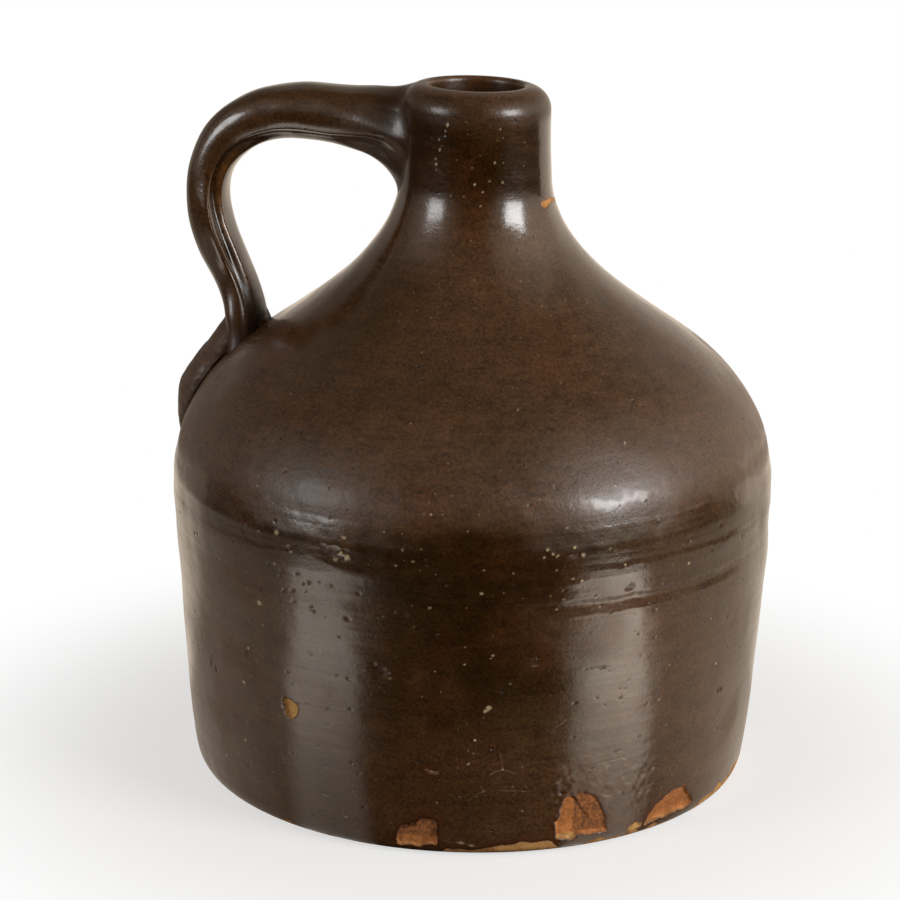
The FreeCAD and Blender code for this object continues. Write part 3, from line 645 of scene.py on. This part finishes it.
def handle_piece(finish):
    """The handle with its root. Between the loop on the neck and the first oval each line is the
    cubic whose ends and end slopes are given: it leaves the neck along the neck's surface and meets
    the oval along the handle. Everything is placed by ring, the angle round the handle, and down,
    the distance from the first oval."""
    columns = 290
    ring = np.arange(columns)[None, :] * 360 / columns
    turn = np.radians(ring[0])
    ovals, at = handle_grid(270, turn)
    c, s = rounded(np.cos(turn), 0.9), rounded(np.sin(turn), 0.9)
    spread, mid, half = 44, 179.65, 16.15  # the loop: degrees to each side, height, half height
    sunk, from_neck, to_handle = 0.12, 3.4, 16  # its depth in the clay, and the two end slopes
    angle, height = HANDLE + spread * s, mid + half * c
    loop, out = neck_point(angle, height)
    loop -= out * sunk
    inner, _ = neck_point(HANDLE + spread * 0.72 * s, mid + half * 0.72 * c)
    tangent = inner - loop
    tangent = (tangent - out * np.sum(tangent * out, axis=1)[:, None]) * from_neck
    lead = unit(ovals[1] - ovals[0]) * to_handle
    v = np.linspace(0, 1, 66)[:-1, None, None] ** 0.9
    root = ((2 * v ** 3 - 3 * v ** 2 + 1) * loop + (v ** 3 - 2 * v ** 2 + v) * tangent
            + (-2 * v ** 3 + 3 * v ** 2) * ovals[0] + (v ** 3 - v ** 2) * lead)
    points = np.vstack([root, ovals])
    normals = unit(squares(points))
    down = np.concatenate([np.linspace(-RUN_UP, 0, len(root), endpoint=False), at])[:, None]
    rise = ripples(points, (30, 21, 0.16), (11, 22, 0.05)) * step(down, -RUN_UP, -6)
    rise += 0.6 * bell(ring, 88, 15) * bell(down, -5, 5)
    rise -= 0.35 * bell(ring, 62, 18) * bell(down, 1, 6)
    rise += 1.5 * bell(ring, 84, 34) * bell(down, 97, 6.5)
    rise += 2.3 * bell(ring, 111, 26) * bell(down, 67, 13)
    rise -= crease(ring, down)
    points = points + normals * rise[..., None]
    normals = squares(points)
    normals[0] = out
    # Painted shade on a random glaze tone: darker at the root's hollow, in the furrow and on the inner
    # flange.
    deep = (0.5 + 0.1 * ripple(points, 20, 53) + 0.35 * (1 - step(down, -12, 4))
            + 0.5 * bell(ring, 129, 11) * step(down, 34, 48)
            + 0.5 * bell(ring, 160, 20) * step(down, 50, 70))
    dull = (0.12 + 0.08 * ripple(points, 18, 55) + 0.5 * (1 - step(down, -6, 16))
            + 0.6 * step(down, 76, 96) + 0.25 * bell(ring, 136, 17)
            + 0.22 * bell(ring, 80, 25) * bell(down, 44, 12))
    marks = marked(points, deep=np.clip(deep, 0, 1),
                   thin=0.6 * bell(ring, 145, 7) * between(down, 36, 52, 82, 98),
                   # Painted shade where the toe meets the shoulder.
                   spot=-0.8 * step(down, 98, 104) * (1 - step(ring, 200, 240)),
                   dull=np.clip(dull, 0, 1))
    skin("jug_handle", points, normals, marks, finish, flip=True,
         caps=(([-16.2, 0, 179.6], [1, 0, 0]), ([-66.4, 0, 116], [0, 0, -1])))


def tail_piece(finish):
    """The end of the handle, smeared down the shoulder: a long mound whose section is an oval sunk
    into the clay, widest a little above the shoulder so that its edges are undercut. The table gives
    the angle on the dome, the half widths to the front and back, and how far it stands proud."""
    table = np.array([
        (64, 4.5, 5, 14.8), (58, 6, 6, 12), (53.5, 8, 8, 8.9), (49.4, 9.8, 9, 7.4),
        (43.8, 11.6, 9.5, 6.3), (38, 12.4, 9.8, 6.1), (32.7, 12.6, 9.8, 6.5), (29, 12.4, 9.6, 6.7),
        (26, 12.2, 9.4, 6.6), (22, 11.6, 9, 5.9), (16, 10.4, 8.4, 4.4), (10, 9, 7.4, 2.9),
        (5, 7.2, 6, 1.5), (0, 5.2, 4.4, 0.4), (-4, 3, 2.6, -0.4)])
    rows, columns = 260, 170
    t = np.linspace(0, 1, rows)
    knots = (table[0, 0] - table[:, 0]) / (table[0, 0] - table[-1, 0])
    shape = through(knots, table, t)
    lean = np.radians(shape[:, 0])
    proud = shape[:, 3]
    turn = np.radians(np.arange(columns) * 360 / columns)[None, :]
    out = np.stack([-np.cos(lean), np.zeros(rows), np.sin(lean)], axis=1)
    sunk = 0.16 * proud - 0.4
    centre = np.array([-DOME[0], 0, DOME[1]]) + out * (SWELL + sunk)[:, None]
    lift = rounded(np.sin(turn), 1.15)
    up = (proud - sunk)[:, None] * np.where(lift > 0, lift, 0.5 * lift)
    across = np.where(np.cos(turn) > 0, shape[:, 1:2], shape[:, 2:3]) * np.cos(turn)
    dome_here = 72  # radius of the shoulder across the tail
    bend = -0.5 * across ** 2 / dome_here
    points = centre[:, None, :] + out[:, None, :] * (up + bend)[..., None]
    points = points + np.array([0, -1, 0]) * across[..., None]
    rise = ripples(points, (14, 31, 0.22), (4, 32, 0.05), (1.8, 33, 0.015))
    rise += bell(np.degrees(turn), 4, 16) * ripples(points, (5, 34, 0.3), (2.4, 35, 0.07))
    points = points - unit(squares(points)) * rise[..., None]
    points[..., 0] = np.maximum(points[..., 0], -FURTHEST)
    middle = points.mean(axis=1)
    # The spot mark is painted shade along the tail's front edge, in the undercut where it meets the
    # shoulder.
    marks = marked(points, deep=np.clip(0.14 + 0.1 * ripple(points, 20, 53), 0, 1),
                   spot=-0.95 * bell(np.degrees(turn), 0, 13),
                   dull=np.clip(1.4 + 0.1 * ripple(points, 18, 55), 0, 2))
    skin("handle_tail", points, -squares(points), marks, finish,
         caps=((middle[0], middle[0] - middle[6]), (middle[-1], middle[-1] - middle[-7])))


# ---- finishes
class Nodes:
    """A node tree that is filled by short calls. Each adds one node and gives its output. A value may
    be a number, a colour or the output of another node."""

    def __init__(self, owner):
        owner.use_nodes = True
        self.tree = owner.node_tree
        self.tree.nodes.clear()

    def wire(self, value, socket):
        if hasattr(value, "links"):
            self.tree.links.new(value, socket)
        elif value is not None:
            socket.default_value = value

    def node(self, kind, *values, **settings):
        n = self.tree.nodes.new("ShaderNode" + kind)
        for key, value in settings.items():
            setattr(n, key, value)
        for slot, value in enumerate(values):
            self.wire(value, n.inputs[slot])
        return n

    def calc(self, kind, a, b=None, c=None):
        return self.node("Math", a, b, c, operation=kind).outputs[0]

    def plus(self, a, b):
        return self.calc("ADD", a, b)

    def times(self, a, b):
        return self.calc("MULTIPLY", a, b)

    def scaled(self, a, b, c):
        """a * b + c"""
        return self.calc("MULTIPLY_ADD", a, b, c)

    def fade(self, value, low, high, start=0, end=1):
        """start at low, end at high, with a soft step between them."""
        return self.node("MapRange", value, low, high, start, end,
                         interpolation_type="SMOOTHSTEP").outputs[0]

    def vector(self, kind, a, b=None):
        outputs = self.node("VectorMath", a, b, operation=kind).outputs
        return outputs["Value" if kind in ("LENGTH", "DOT_PRODUCT") else "Vector"]

    def towards(self, way, azimuth, elevation=0):
        """How far way points to a side: its product with the unit vector aim gives."""
        return self.vector("DOT_PRODUCT", way, tuple(aim(azimuth, elevation)))


def brown_glaze():
    """The dark brown glaze, with soft patches, a fine mottle, pinholes and pale flecks, light and shade
    painted in through its marks, and the coarse tan clay where a flake has gone."""
    m = bpy.data.materials.new("brown_glaze")
    n = Nodes(m)
    node, plus, times, scaled, fade = n.node, n.plus, n.times, n.scaled, n.fade
    where = node("TexCoord").outputs["Object"]

    def noise(scale, detail, rough, place=where):
        texture = node("TexNoise", place)
        for name, value in (("Scale", scale), ("Detail", detail), ("Roughness", rough)):
            texture.inputs[name].default_value = value
        return texture.outputs[0]

    def swing(texture, amount, middle=0.5):
        """The texture about its middle, times amount."""
        return times(n.calc("SUBTRACT", texture, middle), amount)

    def blend(amount, a, b, kind="MIX"):
        mixed = node("Mix", data_type="RGBA", blend_type=kind)
        for slot, value in ((0, amount), (6, a), (7, b)):
            n.wire(value, mixed.inputs[slot])
        return mixed.outputs[2]

    def coats(colour, *layers):
        """colour under layers of others, each laid on by its own amount."""
        for amount, layer in layers:
            colour = blend(amount, colour, layer + (1,))
        return colour

    def spots(scale, size, share):
        """Round spots, one to a cell in a share of the cells, of sizes up to size cells."""
        cells = node("TexVoronoi", where, feature="F1")
        cells.inputs["Scale"].default_value = scale
        parts = node("SeparateColor", cells.outputs["Color"]).outputs
        radius = scaled(parts[1], size, size * 0.35)
        shape = fade(cells.outputs["Distance"], radius, times(radius, 0.55))
        return times(shape, n.calc("LESS_THAN", parts[0], share))

    bare, pale, deep, thin, spot, dull = (
        node("Attribute", attribute_name=name).outputs["Fac"]
        for name in ("bare", "pale", "deep", "thin", "spot", "dull"))
    patch = noise(30, 3, 0.6)
    mottle = noise(230, 3, 0.65)
    grain = noise(1150, 2, 0.7)
    streak = noise(85, 3, 0.65, n.vector("MULTIPLY", where, (1, 1, 7)))
    holes = n.calc("MAXIMUM", spots(360, 0.15, 0.2), spots(150, 0.09, 0.16))
    fleck = spots(430, 0.15, 0.26)
    chalk = spots(105, 0.05, 0.2)
    uneven = plus(times(mottle, 0.55), times(streak, 0.45))
    deep = plus(deep, swing(uneven, 0.6))

    # The glaze: lighter to darker by the mark of glaze tone and painted shade, then red and olive clouds,
    # and the break at the edges.
    brown = coats((0.0655, 0.0302, 0.013, 1),
                  (fade(deep, 0, 0.5), (0.0505, 0.0225, 0.0074)),
                  (fade(deep, 0.4, 1), (0.0225, 0.0087, 0.0014)),
                  (fade(patch, 0.52, 0.72, 0, 0.34), (0.08, 0.024, 0.008)),
                  (fade(patch, 0.5, 0.34, 0, 0.4), (0.036, 0.021, 0.008)),
                  (times(thin, fade(mottle, 0.3, 0.7, 0.4, 1)), (0.2, 0.085, 0.022)))
    speckle = plus(swing(grain, 2.2, 0.47), 1)
    speckle = plus(plus(speckle, swing(mottle, 0.9)), swing(streak, 1))
    brown = blend(1, brown, speckle, "MULTIPLY")
    # Pinholes, flecks, chalky crumbs, and the pale and dark small marks. The dark marks carry painted shade
    # in the groove under the belt, the pits, the bore and where the handle meets the shoulder, and one pale
    # mark is a painted highlight.
    brown = coats(brown,
                  (times(holes, 0.75), (0.006, 0.003, 0.001)),
                  (times(fleck, fade(patch, 0.35, 0.65, 0.25, 0.8)), (0.17, 0.105, 0.052)),
                  (times(chalk, 0.85), (0.46, 0.36, 0.25)),
                  (fade(spot, 0.12, 0.75, 0, 0.9), (0.44, 0.33, 0.2)),
                  (fade(spot, -0.12, -0.7, 0, 0.85), (0.034, 0.0125, 0.003)))

    # Where the glaze has gone: a rusty halo and a dark rim round the bare clay.
    edge = plus(plus(bare, swing(mottle, 0.8)), swing(grain, 0.5))
    gone = fade(edge, -0.06, 0.12)
    rim = times(fade(edge, -0.8, -0.1), n.calc("SUBTRACT", 1, gone))
    brown = coats(brown,
                  (fade(plus(edge, swing(patch, 2.5)), -2.2, -0.3, 0, 0.55), (0.075, 0.02, 0.005)),
                  (times(rim, 0.6), (0.016, 0.006, 0.002)))
    coarse = times(fade(pale, 0.75, 0.42), fade(grain, 0.44, 0.56))
    clay = coats((0.34, 0.115, 0.028, 1),
                 (fade(pale, 0.4, 1), (0.5, 0.18, 0.045)),
                 (fade(pale, 1, 1.6), (0.58, 0.35, 0.12)),
                 (fade(mottle, 0.58, 0.36, 0, 0.7), (0.25, 0.086, 0.014)),
                 (times(coarse, 0.75), (0.095, 0.038, 0.014)),
                 (fade(grain, 0.56, 0.72, 0, 0.7), (0.13, 0.045, 0.013)),
                 (fade(edge, 0.7, 0.1, 0, 0.5), (0.085, 0.03, 0.01)))

    # Dark marks, the painted shade among them, are rougher and lose the coat.
    scar_and_shade = fade(spot, -0.1, -0.5)
    gloss = scaled(dull, 0.27, fade(uneven, 0.38, 0.64, 0.13, 0.19))
    gloss = plus(gloss, times(n.calc("MAXIMUM", fleck, chalk), 0.4))
    gloss = scaled(scar_and_shade, 0.12, gloss)
    rough = node("Mix", gone, None, gloss, 0.85, data_type="FLOAT").outputs[0]
    sound = n.calc("SUBTRACT", 1, n.calc("MAXIMUM", gone, scar_and_shade))
    coat = times(fade(plus(dull, swing(patch, 1.6)), 0.35, 0.75, 0.4, 0.03), sound)

    # Bump of the finest grain only, in metres. The rest of the relief is in the meshes.
    height = times(grain, scaled(dull, 0.00003, 0.00003))
    height = plus(height, times(mottle, scaled(gone, 0.0002, 0.00009)))
    height = n.calc("SUBTRACT", height, times(holes, 0.0002))
    height = plus(height, times(streak, 0.00002))
    bump = node("Bump")
    body = node("BsdfPrincipled")
    for owner, name, value in (
            (bump, "Strength", 1), (bump, "Distance", 1), (bump, "Height", height),
            (body, "Base Color", blend(gone, brown, clay)), (body, "Roughness", rough),
            (body, "IOR", 1.5), (body, "Coat Weight", coat), (body, "Coat Roughness", 0.12),
            (body, "Coat IOR", 1.5), (body, "Normal", bump.outputs[0])):
        n.wire(value, owner.inputs[name])
    node("OutputMaterial", body.outputs[0])
    return m


glaze = brown_glaze()
many = round_the_pot(1000)
some = many[::2]
wall_low, wall_mid, wall_high = reach(79.9, 17), reach(82.2, 37), reach(84.3, 70)
dome_low, neck_low, bore_low = reach(79.5, 104.7), reach(25.5, 155.5), reach(13, 172)
under = np.concatenate([np.linspace(0.5, FOOT - 2, 14), np.linspace(FOOT - 1.5, wall_low, 84)])
pot_piece("jug_foot", under, many, glaze, caps=(([0, 0, 0.9], [0, 0, -1]), None))
for name, start, end, rows, angles in (
        ("jug_wall_low", wall_low, wall_mid, 98, many), ("jug_wall_high", wall_mid, wall_high, 98, many),
        ("jug_belt", wall_high, dome_low, 98, many), ("jug_shoulder", dome_low, neck_low, 190, some),
        ("jug_neck", neck_low, bore_low, 190, some)):
    pot_piece(name, np.linspace(start, end, rows), angles, glaze)
pot_piece("jug_inside", np.linspace(bore_low, ALONG[-1] - 0.5, 160), some[::2], glaze,
          caps=(None, ([0, 0, FLOOR], [0, 0, 1])))
handle_piece(glaze)
tail_piece(glaze)


# ---- set
def aim(azimuth, elevation):
    """Unit vector to a lamp: azimuth from the front, positive to the right."""
    a, e = math.radians(FRONT + azimuth), math.radians(elevation)
    return np.array([math.cos(a) * math.cos(e), math.sin(a) * math.cos(e), math.sin(e)])


def softbox(name, azimuth, elevation, distance, width, height, level):
    """A flat lamp of width x height metres that faces the jug and is level times as bright as white."""
    lamp = bpy.data.lights.new(name, "AREA")
    lamp.shape = "RECTANGLE"
    lamp.size, lamp.size_y = width, height
    lamp.energy = level * math.pi * width * height
    back = aim(azimuth, elevation)
    side = unit(np.cross([0, 0, 1], back))
    thing = placed(name, lamp)
    thing.location = np.array([0, 0, 0.1]) + back * distance
    facing = np.stack([side, np.cross(back, side), back], axis=1)
    thing.rotation_euler = Matrix(facing.tolist()).to_euler()


softbox("right_softbox", 57, 18.5, 1.3, 0.58, 0.5, 13.2)
softbox("left_softbox", -60, 16, 1.4, 0.5, 0.44, 8)


def studio_world():
    """The room. The camera sees it white. All other rays see a pale wall behind, a brighter right
    side, a darker left side and a dark front."""
    world = bpy.data.worlds.new("studio")
    bpy.context.scene.world = world
    n = Nodes(world)
    fade, plus, times = n.fade, n.plus, n.times
    where = n.node("TexCoord").outputs["Generated"]
    right, front = n.towards(where, 90), n.towards(where, 0)
    up = n.vector("DOT_PRODUCT", where, (0, 0, 1))
    glow_right = fade(n.towards(where, 66, 22), 0.6, 1, 0, 0.85)
    glow_left = plus(fade(n.towards(where, -62, 18), 0.72, 1, 0, 0.45),
                     fade(n.towards(where, 126), 0.75, 0.95, 0, 0.25))
    sides = plus(fade(right, 0.45, 1, 0, 0.5), fade(right, -0.5, -1, 0, 0.22))
    behind = times(fade(front, -0.28, -0.62, 0, 0.68), fade(up, -0.02, 0.45, 1, 0.4))
    behind = times(behind, fade(right, -0.1, -0.5, 1, 0.42))
    level = plus(plus(plus(sides, behind), plus(glow_right, glow_left)), fade(up, 0.45, 1, 0.02, 0.09))
    room = n.node("Background", (1, 0.87, 0.73, 1), n.calc("MINIMUM", level, 1.6))
    white = n.node("Background", (1, 1, 1, 1), 1)
    seen = n.node("LightPath").outputs["Is Camera Ray"]
    n.node("OutputWorld", n.node("MixShader", seen, room.outputs[0], white.outputs[0]).outputs[0])


studio_world()


def pale_floor():
    """The table top. The camera sees it pale, fading to white away from the jug. Glossy surfaces see
    it glow: dark in front, as bright as the room at the sides and behind, with a brighter glowing wedge
    under each lamp. Other rays meet it dark in front of the jug and white behind."""
    m = bpy.data.materials.new("pale_floor")
    n = Nodes(m)
    fade, plus, times, scaled, towards = n.fade, n.plus, n.times, n.scaled, n.towards
    where = n.node("TexCoord").outputs["Object"]
    away_from_jug = n.vector("LENGTH", where)

    def glow(colour, level):
        return n.node("Emission", colour + (1,), level).outputs[0]

    def matt(grey):
        return n.node("BsdfDiffuse", grey + (1,)).outputs[0]

    def either(amount, a, b):
        return n.node("MixShader", amount, a, b).outputs[0]

    def both(a, b):
        return n.node("AddShader", a, b).outputs[0]

    def glowing_card(azimuth, level, colour):
        """A glowing wedge on the floor, seen only in reflections: it opens away from the jug under a lamp,
        and ends 0.3 m out.
        """
        corner = aim(math.copysign(7.5, azimuth), 0) * 0.052
        gap = n.vector("SUBTRACT", where, tuple(corner))
        out = n.vector("LENGTH", gap)
        narrow, middling, wide = (math.cos(math.radians(a)) for a in (9, 12.5, 20))
        middle = fade(towards(n.vector("NORMALIZE", gap), azimuth), fade(out, 0.13, 0.21, wide, middling),
                      narrow, 0, level)
        ends = times(fade(out, 0.03, 0.2, 0.3, 1.55), fade(out, 0.24, 0.3, 1, 0))
        return glow(colour, times(middle, ends))

    white = glow((1, 1, 1), 1)
    seen = either(fade(away_from_jug, 0.085, 0.19, 0.62, 1), matt((0.92, 0.92, 0.92)), white)
    way = n.vector("NORMALIZE", where)
    right, front = towards(way, 90), towards(way, 0)
    near = fade(away_from_jug, 0.3, 0.8, 1, 0.45)
    far = fade(away_from_jug, 0.3, 0.45)
    sides = plus(fade(right, 0.45, 1, 0.02, 0.6), times(near, fade(right, -0.35, -0.95, 0, 0.38)))
    sides = times(sides, scaled(far, -0.85, 1))
    rear = fade(front, scaled(far, -0.25, -0.1), scaled(far, 0.2, -0.6))
    rear = times(rear, n.calc("SUBTRACT", 1, times(far, fade(right, -0.1, -0.5, 0, 0.7))))
    room = glow((1, 0.85, 0.69), n.calc("MAXIMUM", sides, times(rear, scaled(far, 0.2, 0.9))))
    shiny = both(room, both(glowing_card(56, 3, (1, 0.91, 0.78)), glowing_card(-58.5, 1.4, (1, 0.93, 0.82))))
    dull = either(fade(towards(where, 0), 0, -0.12), matt((0.12, 0.11, 0.1)), white)
    ray = n.node("LightPath").outputs
    other = either(ray["Is Glossy Ray"], dull, shiny)
    n.node("OutputMaterial", either(ray["Is Camera Ray"], other, seen))
    mesh = bpy.data.meshes.new("floor")
    mesh.from_pydata([(-3, -3, 0), (3, -3, 0), (3, 3, 0), (-3, 3, 0)], [], [(0, 1, 2, 3)])
    mesh.materials.append(m)
    floor = placed("floor", mesh)
    floor.location = (0, 0, -0.0002)


pale_floor()

camera = bpy.data.cameras.new("camera")
camera.lens = 116
camera.sensor_width = 36
eye = placed("camera", camera)
turn = math.radians(FRONT + 90)
across, back, high = -6.28, -791.6, 334.07
eye.location = ((across * math.cos(turn) - back * math.sin(turn)) * METRE,
                (across * math.sin(turn) + back * math.cos(turn)) * METRE, high * METRE)
nod, roll = math.radians(90 - 17.117), math.radians(0.598)
spin = Matrix.Rotation(turn, 3, "Z") @ Matrix.Rotation(nod, 3, "X") @ Matrix.Rotation(roll, 3, "Z")
eye.rotation_euler = spin.to_euler()
bpy.context.scene.camera = eye
bpy.context.scene.view_settings.view_transform = "Standard"
